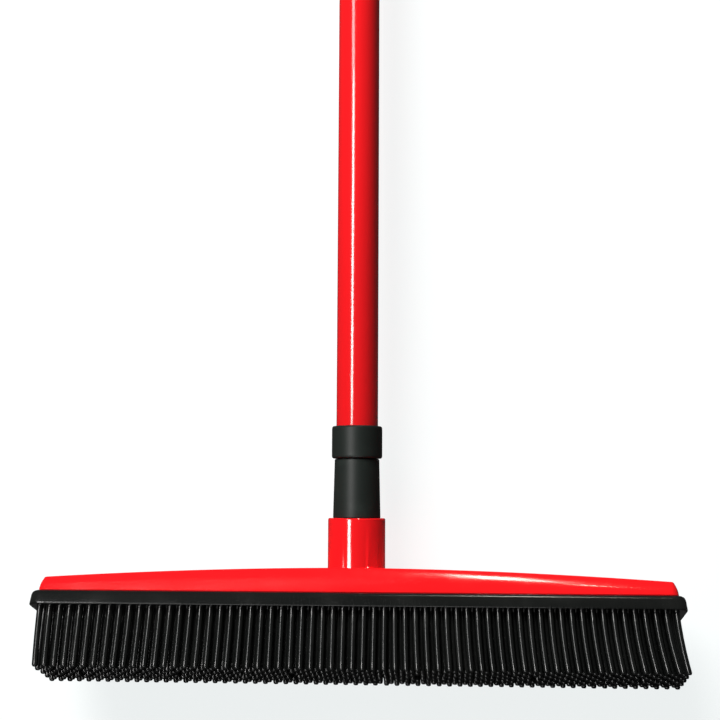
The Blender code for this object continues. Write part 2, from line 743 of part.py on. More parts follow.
def build_upper_handle(handle, paint, plastic, rubber, steel):
    inner_tube(handle, paint)
    lock_plug(handle, plastic)
    half_length = INNER_RADIUS - INNER_WALL
    cross_pin("plug_pin", PIN_RADIUS, half_length, INNER_FOOT + PLUG_LENGTH / 2, handle, steel)
    cam_screw(handle, steel)
    cam_ring(handle, plastic)
    hand_grip(handle, rubber)
    end_cap(handle, plastic)


def main():
    clear_scene()
    red = finish("red_plastic", (0.82, 0.02, 0.02), 0.22)
    paint = finish("red_painted_steel", (0.76, 0.015, 0.015), 0.18)
    plastic = finish("black_plastic", (0.03, 0.034, 0.032), 0.38)
    rubber = finish("black_rubber", (0.02, 0.021, 0.02), 0.5)
    steel = finish("zinc_steel", (0.6, 0.6, 0.58), 0.35, 1.0)
    handle = empty("handle_frame", location=(0, 0, -EYE_HEIGHT))
    build_head(handle, red, rubber, plastic, steel)
    build_lower_handle(handle, paint, plastic, steel)
    build_upper_handle(handle, paint, plastic, rubber, steel)


main()
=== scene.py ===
"""Looks of the rubber push broom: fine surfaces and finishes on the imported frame.

Lengths are in metres. The handle's axis is Z; the head's own frame leans back from it.
"""

from __future__ import annotations

import logging
import math
from dataclasses import dataclass
from enum import Enum
from typing import Any, Callable, Sequence

import bmesh
import bpy
import numpy as np
from mathutils import Matrix, Vector


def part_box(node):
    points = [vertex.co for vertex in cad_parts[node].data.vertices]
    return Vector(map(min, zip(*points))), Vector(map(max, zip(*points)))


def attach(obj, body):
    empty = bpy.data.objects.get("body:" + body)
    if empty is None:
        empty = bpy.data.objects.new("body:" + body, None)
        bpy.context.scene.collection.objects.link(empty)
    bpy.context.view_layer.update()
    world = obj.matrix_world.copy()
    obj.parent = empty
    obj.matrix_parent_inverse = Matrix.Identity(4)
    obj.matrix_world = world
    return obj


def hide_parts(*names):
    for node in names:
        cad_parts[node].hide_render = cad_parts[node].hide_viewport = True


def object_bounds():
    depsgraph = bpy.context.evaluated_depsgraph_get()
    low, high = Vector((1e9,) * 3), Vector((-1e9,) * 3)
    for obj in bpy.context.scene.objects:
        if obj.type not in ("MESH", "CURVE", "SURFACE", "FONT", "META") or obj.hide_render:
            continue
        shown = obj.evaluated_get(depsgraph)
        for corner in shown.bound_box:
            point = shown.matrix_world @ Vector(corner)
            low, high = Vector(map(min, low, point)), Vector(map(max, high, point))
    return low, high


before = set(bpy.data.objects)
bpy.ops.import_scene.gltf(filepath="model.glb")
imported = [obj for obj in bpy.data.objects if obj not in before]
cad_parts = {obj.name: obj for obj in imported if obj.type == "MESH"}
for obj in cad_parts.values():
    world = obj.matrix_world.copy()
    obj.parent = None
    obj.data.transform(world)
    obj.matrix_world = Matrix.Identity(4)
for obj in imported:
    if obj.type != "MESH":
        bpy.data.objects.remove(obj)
CAD_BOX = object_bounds()

MM = 0.001
TAU = 2 * math.pi
FINE_SIDES = 96  # points round a turned piece
ARC_POINTS = 9  # points on a rounded corner or edge
SIDE_SHARE = 0.49  # the most of a side that a softened corner takes
WELD = 1e-6  # points nearer than this become one
CRISP = 35.0  # edges over this angle, in degrees, stay crisp
MOULDED_CRISP = 40.0  # the same on a rounded moulding
PLAY = 0.3 * MM  # clearance between parts that fit together
MIX_INPUTS = (0, 6, 7)  # a Mix node's factor and its two colours
MIX_RESULT = 2

Array = np.ndarray
Piece = bpy.types.Object
Colour = tuple[float, float, float]
WHITE = (1.0, 1.0, 1.0)
log = logging.getLogger("broom")


class Body(Enum):
    """The rigid bodies that new pieces ride on."""

    UPPER = "upper_handle"
    LOWER = "lower_handle"
    HEAD = "head"


class Operation(Enum):
    """How one closed shape is combined with another."""

    JOIN = "UNION"
    CUT = "DIFFERENCE"


class Reach(Enum):
    """Which of a light's effects it has on a surface."""

    SOFTNESS = "diffuse"
    GLOSS = "glossy"


# ---- shader building


class Term:
    """One output of a shader node; arithmetic on it adds Math nodes."""

    def __init__(self, shader: Shader, socket: bpy.types.NodeSocket) -> None:
        """Wraps a socket of the given shader."""
        self.shader = shader
        self.socket = socket

    def _math(self, operation: str, *values: Any) -> Term:
        """Adds a Math node for the operation on the values."""
        return self.shader.node("ShaderNodeMath", {"operation": operation}, *values)

    def __add__(self, other: Any) -> Term:
        """Sum."""
        return self._math("ADD", self, other)

    __radd__ = __add__

    def __sub__(self, other: Any) -> Term:
        """Difference."""
        return self._math("SUBTRACT", self, other)

    def __rsub__(self, other: Any) -> Term:
        """Reflected difference."""
        return self._math("SUBTRACT", other, self)

    def __mul__(self, other: Any) -> Term:
        """Product."""
        return self._math("MULTIPLY", self, other)

    __rmul__ = __mul__

    def clipped(self, low: float, high: float) -> Term:
        """0 below low, 1 above high and a smooth step between."""
        settings = {"interpolation_type": "SMOOTHSTEP"}
        return self.shader.node("ShaderNodeMapRange", settings, self, low, high, 0.0, 1.0)


class Shader:
    """A material's node tree, with its Principled BSDF at hand."""

    def __init__(self, name: str) -> None:
        """Makes the material.

        Args:
            name: the material's name.
        """
        self.material = bpy.data.materials.new(name)
        self.material.use_nodes = True
        self.tree = self.material.node_tree
        self.surface = self.tree.nodes["Principled BSDF"]

    def node(
        self, kind: str, settings: dict[str, Any], *values: Any, out: int | str = 0, **named: Any
    ) -> Term:
        """Adds a node.

        Args:
            kind: the node's type.
            settings: the node's own properties, which are set first.
            values: values or terms of its first inputs, in order.
            out: the output that is returned.
            named: values or terms of inputs by name, with _ for a space.

        Returns:
            The chosen output.
        """
        node = self.tree.nodes.new(kind)
        for key, value in settings.items():
            setattr(node, key, value)
        wanted = list(zip(node.inputs, values))
        wanted += [(node.inputs[key.replace("_", " ")], value) for key, value in named.items()]
        for socket, value in wanted:
            self.feed(socket, value)
        return Term(self, node.outputs[out])

    def feed(self, socket: bpy.types.NodeSocket, value: Any) -> None:
        """Links a term to a socket, or sets the socket's own value."""
        if isinstance(value, Term):
            self.tree.links.new(value.socket, socket)
        elif isinstance(value, tuple) and len(value) == 3 and socket.type == "RGBA":
            socket.default_value = (*value, 1.0)
        else:
            socket.default_value = value

    def place(self) -> Term:
        """The point in the object's own frame, in metres."""
        return self.node("ShaderNodeTexCoord", {}, out="Object")

    def noise(self, scale: float, detail: float = 2.0, stretch: Colour = WHITE) -> Term:
        """Noise from 0 to 1.

        Args:
            scale: cells in a metre.
            detail: octaves.
            stretch: factors on X, Y and Z; under 1 draws the pattern out.

        Returns:
            The noise's value.
        """
        point = self.node("ShaderNodeMapping", {}, self.place(), Scale=stretch)
        return self.node("ShaderNodeTexNoise", {}, point, Scale=scale, Detail=detail, Roughness=0.55)

    def blend(self, factor: Any, first: Any, second: Any) -> Term:
        """Colour mix of first and second by factor."""
        mix = self.node("ShaderNodeMix", {"data_type": "RGBA"}, out=MIX_RESULT)
        for index, value in zip(MIX_INPUTS, (factor, first, second)):
            self.feed(mix.socket.node.inputs[index], value)
        return mix

    def bump(self, height: Term, depth: float) -> None:
        """Drives the surface's Normal by a height from 0 to 1 that stands depth metres."""
        normal = self.node("ShaderNodeBump", {}, Height=height, Distance=depth, Strength=1.0, out="Normal")
        self.feed(self.surface.inputs["Normal"], normal)

    def give(self, **inputs: Any) -> None:
        """Sets or links inputs of the Principled BSDF by name, with _ for a space."""
        for key, value in inputs.items():
            self.feed(self.surface.inputs[key.replace("_", " ")], value)


def scaled(colour: Colour, factor: float) -> Colour:
    """The colour with each channel times factor."""
    return (colour[0] * factor, colour[1] * factor, colour[2] * factor)


# ---- finishes


@dataclass(frozen=True)
class Finish:
    """A surface finish; each kind adds its own pattern in dress()."""

    name: str
    colour: Colour
    roughness: float

    def dress(self, shader: Shader) -> None:
        """Adds the finish's nodes."""
        raise NotImplementedError

    def material(self) -> bpy.types.Material:
        """The finish as a material, made once."""
        found = bpy.data.materials.get(self.name)
        if found:
            return found
        shader = Shader(self.name)
        self.dress(shader)
        return shader.material

    def coat(self, obj: Piece) -> None:
        """Makes the finish an object's only material."""
        obj.data.materials.clear()
        obj.data.materials.append(self.material())


@dataclass(frozen=True)
class GlossPlastic(Finish):
    """Injection-moulded gloss plastic: faint sink ripples, handling smudges and fine scuffs."""

    ripple: float = 0.00004
    smudging: float = 0.07
    scuffing: float = 0.1

    def dress(self, shader: Shader) -> None:
        """Colour drifts by a few per cent, smudges lift the roughness, ripples bend the gloss."""
        drift = shader.noise(22.0, 3.0)
        smudge = shader.noise(60.0, 4.0).clipped(0.45, 0.8)
        scuff = shader.noise(420.0, 2.0, (0.12, 1.0, 1.0)).clipped(0.66, 0.78)
        body = shader.blend(drift, scaled(self.colour, 0.93), scaled(self.colour, 1.05))
        shader.give(
            Base_Color=body,
            Roughness=self.roughness + self.smudging * smudge + self.scuffing * scuff,
            Specular_IOR_Level=0.5,
            Coat_Weight=0.15,
            Coat_Roughness=0.05,
        )
        ripples = shader.noise(38.0, 1.0) + 0.01 * shader.noise(700.0, 2.0)
        shader.bump(ripples, self.ripple)


@dataclass(frozen=True)
class TubePaint(Finish):
    """Baked paint on drawn steel tube: orange peel, and faint marks along the tube."""

    peel: float = 0.000004
    rubbing: float = 0.08
    drawing: float = 0.03

    def dress(self, shader: Shader) -> None:
        """Peel is fine noise; draw marks are noise stretched a hundredfold along Z."""
        draw = shader.noise(900.0, 2.0, (1.0, 1.0, 0.01))
        drift = shader.noise(14.0, 3.0)
        rub = shader.noise(150.0, 4.0, (1.0, 1.0, 0.25)).clipped(0.6, 0.78)
        body = shader.blend(drift, scaled(self.colour, 0.94), scaled(self.colour, 1.04))
        shader.give(
            Base_Color=body,
            Roughness=self.roughness + self.rubbing * rub + self.drawing * draw,
            Coat_Weight=0.2,
            Coat_Roughness=0.06,
        )
        shader.bump(shader.noise(1100.0, 2.0) + 0.4 * draw, self.peel)


@dataclass(frozen=True)
class SatinPlastic(Finish):
    """Spark-eroded black plastic: even fine grain with paler rubbed patches."""

    grain: float = 0.00002
    cells: float = 2600.0
    polish: float = 0.06

    def dress(self, shader: Shader) -> None:
        """Grain is fine noise; rubbing lightens the colour and smooths the surface a little."""
        rub = shader.noise(75.0, 4.0).clipped(0.5, 0.75)
        body = shader.blend(rub, self.colour, scaled(self.colour, 1.5))
        smooth = self.roughness - self.polish * rub
        shader.give(Base_Color=body, Roughness=smooth, Specular_IOR_Level=0.24)
        shader.bump(shader.noise(self.cells, 2.0) + 0.3 * shader.noise(300.0, 2.0), self.grain)


@dataclass(frozen=True)
class MouldedRubber(Finish):
    """Soft black rubber: dull bloom in patches, fine dust, and a slight moulding texture."""

    bloom: Colour = (0.022, 0.023, 0.0215)
    blooming: float = 0.35
    dusting: float = 0.5
    texture: float = 0.00003

    def dress(self, shader: Shader) -> None:
        """Bloom greys the colour where large noise is high; fine dust specks do the same."""
        patch = shader.noise(45.0, 5.0).clipped(0.42, 0.8)
        dust = shader.noise(1400.0, 2.0).clipped(0.68, 0.82)
        tinted = shader.blend(self.blooming * patch, self.colour, self.bloom)
        shader.give(
            Base_Color=shader.blend(self.dusting * dust, tinted, self.bloom),
            Roughness=self.roughness + 0.1 * patch,
            Specular_IOR_Level=0.45,
        )
        shader.bump(shader.noise(1800.0, 3.0) + 0.6 * shader.noise(260.0, 2.0), self.texture)


@dataclass(frozen=True)
class ZincPlate(Finish):
    """Bright zinc on steel: small spangles and turning marks."""

    def dress(self, shader: Shader) -> None:
        """Spangles are cells of slightly different grey and roughness."""
        cell = shader.node("ShaderNodeTexVoronoi", {}, shader.place(), Scale=900.0, out="Distance")
        body = shader.blend(cell, scaled(self.colour, 0.85), self.colour)
        shader.give(Base_Color=body, Roughness=self.roughness + 0.15 * cell, Metallic=1.0)
        shader.bump(shader.noise(1500.0, 2.0), depth=0.00001)


@dataclass(frozen=True)
class Nylon(Finish):
    """Natural nylon: slightly waxy off-white with faint flow lines."""

    def dress(self, shader: Shader) -> None:
        """Flow lines are noise drawn out along Z."""
        flow = shader.noise(260.0, 3.0, (1.0, 1.0, 0.15))
        body = shader.blend(flow, scaled(self.colour, 0.92), self.colour)
        shader.give(Base_Color=body, Roughness=self.roughness + 0.08 * flow, Subsurface_Weight=0.1)
        shader.bump(flow, depth=0.00002)


@dataclass(frozen=True)
class Paper(Finish):
    """Pale studio paper with a very faint tooth and a painted glow, clear when seen from behind."""

    def dress(self, shader: Shader) -> None:
        """Paper tooth moves the colour by one per cent; the back face has no opacity. The even emission is
        painted light: it keeps the shadows cast on the paper pale, and its cool tint paints those shadows
        bluish.
        """
        tooth = shader.noise(300.0, 2.0)
        back = shader.node("ShaderNodeNewGeometry", {}, out="Backfacing")
        shader.give(
            Base_Color=shader.blend(tooth, scaled(self.colour, 0.99), self.colour),
            Roughness=self.roughness,
            Specular_IOR_Level=0.1,
            # painted light: the paper glows, which lifts the shadows on it, and the cool tint of the glow
            # paints those shadows bluish
            Emission_Color=(0.96, 1.0, 1.0),
            Emission_Strength=0.85,
            Alpha=1.0 - back,
        )


HOUSING_RED = GlossPlastic("housing_red", (0.95, 0.009, 0.013), 0.11)
TUBE_RED = TubePaint("tube_red", (0.9, 0.01, 0.014), 0.12)
FITTING_BLACK = SatinPlastic("fitting_black", (0.0135, 0.018, 0.0158), 0.46)
PAD_BLACK = MouldedRubber("pad_black", (0.0068, 0.0076, 0.0072), 0.16, texture=0.00001)
GRIP_BLACK = MouldedRubber("grip_black", (0.017, 0.018, 0.0175), 0.6, texture=0.00006)
ZINC = ZincPlate("zinc_plate", (0.62, 0.62, 0.6), 0.25)
NYLON = Nylon("natural_nylon", (0.74, 0.72, 0.66), 0.45)
PAPER = Paper("studio_paper", (0.2, 0.2, 0.2), 0.8)


# ---- surfaces


def grid_quads(rows: int, columns: int, ring: bool, loops: bool = True) -> Array:
    """Quads over a grid of points.

    Args:
        rows: number of rows.
        columns: points in a row.
        ring: whether the last row joins the first.
        loops: whether each row closes on itself.

    Returns:
        Indices, four to a quad: (r, c), (r, c + 1), (r + 1, c + 1), (r + 1, c).
    """
    row = np.arange(rows if ring else rows - 1)[:, None]
    column = np.arange(columns if loops else columns - 1)[None, :]
    after, below = (column + 1) % columns, (row + 1) % rows
    row, below = row * columns, below * columns
    corners = (row + column, row + after, below + after, below + column)
    return np.stack(np.broadcast_arrays(*corners), axis=-1).reshape(-1, 4)


def mesh_piece(name: str, points: Array, quads: Array, sharp: float = CRISP) -> Piece:
    """Puts points and quads into a mesh object with welded poles and outward faces.

    Args:
        name: the object's name.
        points: vertices, three numbers each.
        quads: vertex indices, four to a face.
        sharp: edges over this angle, in degrees, stay crisp.

    Returns:
        The object, at the origin.
    """
    mesh = bpy.data.meshes.new(name)
    mesh.from_pydata(points, [], quads)
    shape = bmesh.new()
    shape.from_mesh(mesh)
    bmesh.ops.remove_doubles(shape, verts=shape.verts, dist=WELD)
    bmesh.ops.dissolve_degenerate(shape, edges=shape.edges, dist=WELD)
    bmesh.ops.recalc_face_normals(shape, faces=shape.faces)
    shape.to_mesh(mesh)
    shape.free()
    obj = bpy.data.objects.new(name, mesh)
    crisp(obj, sharp)
    bpy.context.scene.collection.objects.link(obj)
    return obj


def skin(name: str, points: Array, ring: bool = False, sharp: float = CRISP) -> Piece:
    """A surface over a grid of points whose rows are closed loops.

    Args:
        name: the object's name.
        points: (rows, columns, 3).
        ring: whether the last row joins the first; if not, the end rows are poles or seams.
        sharp: crisp edge angle in degrees.

    Returns:
        The object.
    """
    rows, columns = points.shape[:2]
    return mesh_piece(name, points.reshape(-1, 3), grid_quads(rows, columns, ring), sharp)


def softened(corners: Sequence[tuple[float, float, float]], steps: int = 6, closed: bool = False) -> Array:
    """A profile with its corners rounded.

    Each corner (a, b, r) gives the curve (1-t)^2 A + 2t(1-t) B + t^2 C, where B is the corner and
    A and C lie r from it along its two sides, or less where a side is short.

    Args:
        corners: (first, second, reach) of each corner.
        steps: intervals of each curve.
        closed: whether the last corner joins the first.

    Returns:
        The profile's points, (n, 2).
    """
    spots = np.array([corner[:2] for corner in corners], float)
    count = len(spots)
    share = np.linspace(0, 1, steps + 1)[:, None]
    made = []
    for index, corner in enumerate(corners):
        ends = not closed and index in (0, count - 1)
        if corner[2] == 0 or ends:
            made.append(spots[index][None])
            continue
        sides = [spots[(index + turn) % count] - spots[index] for turn in (-1, 1)]
        spans = [float(np.linalg.norm(side)) for side in sides]
        reaches = [min(corner[2], SIDE_SHARE * span) for span in spans]
        start, end = (spots[index] + side / span * r for side, span, r in zip(sides, spans, reaches))
        made.append((1 - share) ** 2 * start + 2 * share * (1 - share) * spots[index] + share**2 * end)
    return np.concatenate(made)


def turned(profile: Array) -> Array:
    """The profile's (radius, height) points carried round Z.

    Point (i, j) is (r_i cos a_j, r_i sin a_j, h_i), with a_j = j turns / FINE_SIDES.

    Args:
        profile: (n, 2).

    Returns:
        (n, FINE_SIDES, 3).
    """
    angle = np.arange(FINE_SIDES) * TAU / FINE_SIDES
    x, y = profile[:, :1] * np.cos(angle), profile[:, :1] * np.sin(angle)
    return np.stack([x, y, np.broadcast_to(profile[:, 1:], x.shape)], axis=-1)


def combine(base: Piece, other: Piece, operation: Operation) -> None:
    """Applies a Boolean to base and removes the other shape.

    Args:
        base: the object that is kept.
        other: the object that is joined or cut away.
        operation: which of the two.
    """
    modifier = base.modifiers.new("combine", "BOOLEAN")
    modifier.operation = operation.value
    modifier.object = other
    bpy.context.view_layer.update()
    graph = bpy.context.evaluated_depsgraph_get()
    mesh = bpy.data.meshes.new_from_object(base.evaluated_get(graph))
    base.modifiers.clear()
    spent, base.data = base.data, mesh
    bpy.data.meshes.remove(spent)
    bpy.data.objects.remove(other)


def crisp(obj: Piece, sharp: float) -> None:
    """Smooth shading with edges over an angle, in degrees, kept crisp."""
    obj.data.shade_smooth()
    obj.data.set_sharp_from_angle(angle=math.radians(sharp))


def settle(obj: Piece, finish: Finish, body: Body, node: str) -> None:
    """Dresses a finished piece and puts it on its body.

    Args:
        obj: the piece.
        finish: its finish.
        body: the body it rides on.
        node: the CAD node that it stands for.
    """
    finish.coat(obj)
    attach(obj, body.value)
    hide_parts(node)
    log.info("%s: %d faces on %s", obj.name, len(obj.data.polygons), body.value)


def redress(node: str, finish: Finish) -> None:
    """Gives a CAD node that stays a finish of its own."""
    finish.coat(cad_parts[node])
    log.info("%s: carried over", node)


def span(node: str) -> tuple[float, float, float]:
    """The heights of a round CAD node's foot and top, and its outer radius."""
    low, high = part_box(node)
    return low.z, high.z, (high.x - low.x) / 2


# ---- the head


@dataclass(frozen=True)
class HeadFrame:
    """The head's own frame: X along it, Y back, Z up out of the housing's foot."""

    tilt: float = math.radians(17.5)
    socket_foot: float = 43.8 * MM
    socket_foot_y: float = 4 * MM

    @property
    def rim(self) -> float:
        """Height of the socket's rim on the handle."""
        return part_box("head_housing")[1].z

    def place(self, points: Array) -> Array:
        """Turns points back by the tilt about X and moves them to the head's origin."""
        cosine, sine = math.cos(self.tilt), math.sin(self.tilt)
        x, y, z = np.moveaxis(points, -1, 0)
        origin_y = -self.socket_foot_y * cosine
        origin_z = self.rim - self.socket_foot + self.socket_foot_y * sine
        return np.stack([x, y * cosine + z * sine + origin_y, z * cosine - y * sine + origin_z], axis=-1)

    def brick(self, name: str, low: Sequence[float], high: Sequence[float]) -> Piece:
        """A plain block for cutting or joining, between two corners in this frame."""
        loop = np.array([(0, 0), (1, 0), (1, 1), (0, 1)], float)
        middle = np.full((4, 2), 0.5)
        rows = [(middle, 0), (loop, 0), (loop, 1), (middle, 1)]
        unit = np.stack([np.column_stack([flat, np.full(4, height)]) for flat, height in rows])
        return skin(name, self.place(low + unit * np.subtract(high, low)))


@dataclass(frozen=True)
class Outline:
    """A rounded rectangle seen from above, as a closed loop that is the same front and back."""

    length: float
    depth: float
    corner: float
    stations: Array
    end_share: float = 1.0
    least_corner: float = 0.15 * MM

    def loop(self, inset: float) -> Array:
        """The outline drawn in by inset.

        The front runs from the left corner's arc through the stations to the right corner's arc;
        the back is its mirror image in Y, in reverse.

        Args:
            inset: distance in from the full outline; the ends come in by end_share of it.

        Returns:
            (n, 2).
        """
        corner = max(self.corner - inset, self.least_corner)
        x, y = self.length / 2 - inset * self.end_share - corner, self.depth / 2 - inset - corner
        left = np.linspace(math.pi, 1.5 * math.pi, ARC_POINTS)
        right = np.linspace(1.5 * math.pi, TAU, ARC_POINTS)
        front_x = np.concatenate([corner * np.cos(left) - x, self.stations * x, corner * np.cos(right) + x])
        low = np.full(self.stations.shape, -corner - y)
        front_y = np.concatenate([corner * np.sin(left) - y, low, corner * np.sin(right) - y])
        front = np.column_stack([front_x, front_y])
        return np.concatenate([front, front[::-1] * (1, -1)])


@dataclass
class Housing:
    """The red moulding: an arched cover with an angled socket."""

    head: HeadFrame
    length: float = 326 * MM
    depth: float = 37 * MM
    corner: float = 4.5 * MM
    end_height: float = 7.5 * MM
    mid_height: float = 13.6 * MM
    crown_power: float = 1.8
    draft: float = 2.5 * MM
    bulge: float = 2.2
    end_share: float = 0.72
    edge: float = 1.5 * MM
    edge_start: float = math.radians(24)
    foot_edge: float = 0.3 * MM
    wall: float = 2.2 * MM
    wall_edge: float = 0.4 * MM
    camber: float = 0.5 * MM
    socket_radius: float = 15.0 * MM
    bore_radius: float = 10.1 * MM
    bore_depth: float = 34 * MM
    blend: float = 1.6 * MM
    rim_edge: float = 0.9 * MM
    mouth_edge: float = 0.6 * MM
    floor_edge: float = 0.8 * MM
    above_foot: float = 0.5 * MM
    behind_inset: float = 0.3 * MM
    dense_reach: float = 21 * MM
    dense_step: float = 0.6 * MM
    side_rows: int = 12
    edge_rows: int = 8
    top_rows: int = 26
    rib_count: int = 8
    rib_thickness: float = 1.6 * MM
    crisp: float = 38.0

    def crown(self, x: Array) -> Array:
        """Height of the top: end + (mid - end)(1 - |2x / length|^power)."""
        share = np.clip(np.abs(x) / (self.length / 2), 0, 1)
        return self.end_height + (self.mid_height - self.end_height) * (1 - share**self.crown_power)

    def swell(self, points: Array) -> Array:
        """Rise of the top where it sweeps up into the socket.

        It is r - sqrt(r^2 - (r - d)^2), with r the blend's radius and d the distance from the
        socket's wall, and nothing where d is over r.

        Args:
            points: (n, 3) in the head's frame.

        Returns:
            The rise of each point.
        """
        world = self.head.place(points)
        away = np.hypot(world[..., 0], world[..., 1]) - self.socket_radius
        inner = np.clip(self.blend - np.clip(away, 0, self.blend), 0, self.blend)
        return self.blend - np.sqrt(self.blend**2 - inner**2)

    def cover(self) -> Piece:
        """The arched cover: rows run from the middle of its ceiling out over its foot to its top.

        A side leans in by draft * s^bulge at the share s of its height, then rounds off along an
        arc of the edge's radius. The rows' points are close together beside the socket.
        """
        reach, step = self.dense_reach, self.dense_step
        dense = np.arange(-reach, reach + 0.1 * step, step) / (self.length / 2 - self.corner)
        sparse = np.linspace(0.15, 0.985, 42)
        stations = np.concatenate([-sparse[::-1], dense, sparse])
        outline = Outline(self.length, self.depth, self.corner, stations, self.end_share)
        rows = []

        def row(inset: float, height: Callable[[Array], Array] | float, squeeze: float = 1.0) -> None:
            """Adds the outline drawn in by inset, at a height, with its depth squeezed."""
            loop = outline.loop(inset)
            z = height(loop[:, 0]) if callable(height) else np.full(len(loop), height)
            rows.append(np.column_stack([loop[:, 0], loop[:, 1] * squeeze, z]))

        inside = self.wall + self.draft
        for squeeze in (0.0, 0.5, 1.0):
            row(inside, lambda x: self.crown(x) - self.wall, squeeze)
        row(self.wall, self.wall_edge)
        row(self.wall - self.wall_edge, 0.0)
        row(self.foot_edge, 0.0)
        row(0.0, self.foot_edge)
        start, drop = self.edge_start, self.edge * (1 - math.sin(self.edge_start))
        for share in np.linspace(0.08, 1, self.side_rows):
            inset = self.draft * share**self.bulge
            row(inset, lambda x, share=share: (self.crown(x) - drop) * share)
        for turn in np.linspace(start, math.pi / 2, self.edge_rows)[1:]:
            inset = self.draft + self.edge * (math.cos(start) - math.cos(turn))
            row(inset, lambda x, turn=turn: self.crown(x) - self.edge * (1 - math.sin(turn)))
        rim = rows[-1]
        for squeeze in np.linspace(1, 0, self.top_rows)[1:]:
            point = rim * (1, squeeze, 1)
            point[:, 2] += self.camber * (1 - squeeze**2)
            rows.append(point)
        points = np.stack(rows)
        top = points[-self.top_rows :]
        top[..., 2] += self.swell(top)
        return skin("head_cover", self.head.place(points))

    def socket(self) -> Piece:
        """The round socket and its bore, planed level below and flush behind."""
        rim, radius = self.head.rim, self.socket_radius
        foot, floor = rim - self.head.socket_foot - radius, rim - self.bore_depth
        corners = [
            (0, foot, 0),
            (radius, foot, 0),
            (radius, rim, self.rim_edge),
            (self.bore_radius, rim, self.mouth_edge),
            (self.bore_radius, floor, self.floor_edge),
            (0, floor, 0),
        ]
        made = skin("socket_wall", turned(softened(corners)))
        reach = 2 * self.head.socket_foot
        back = self.depth / 2 - self.behind_inset
        below = (-reach, -reach, -reach), (reach, reach, self.above_foot)
        behind = (-reach, back, -reach), (reach, reach, self.mid_height)
        for low, high in (below, behind):
            combine(made, self.head.brick("planing_block", low, high), Operation.CUT)
        return made

    def ribs(self, housing: Piece) -> None:
        """Joins the cross ribs inside the cover, evenly spaced."""
        count, half = self.rib_count, self.rib_thickness / 2
        reach = self.depth / 2 - self.wall / 2 - self.draft
        for index in range(count):
            x = (index - (count - 1) / 2) * self.length / (count + 1)
            top = float(self.crown(np.array([abs(x) + 2 * half]))[0]) - self.wall / 2
            low, high = (x - half, -reach, self.above_foot), (x + half, reach, top)
            combine(housing, self.head.brick("rib", low, high), Operation.JOIN)

    def build(self) -> None:
        """Makes the housing and puts it on the head."""
        housing = self.cover()
        combine(housing, self.socket(), Operation.JOIN)
        floor, mouth = self.head.rim - self.bore_depth, self.head.rim + MM
        bore = [(0, floor, 0), (self.bore_radius, floor, self.floor_edge)]
        bore += [(self.bore_radius, mouth, 0), (0, mouth, 0)]
        combine(housing, skin("bore", turned(softened(bore))), Operation.CUT)
        self.ribs(housing)
        housing.name = "red_head_housing"
        crisp(housing, self.crisp)
        settle(housing, HOUSING_RED, Body.HEAD, "head_housing")


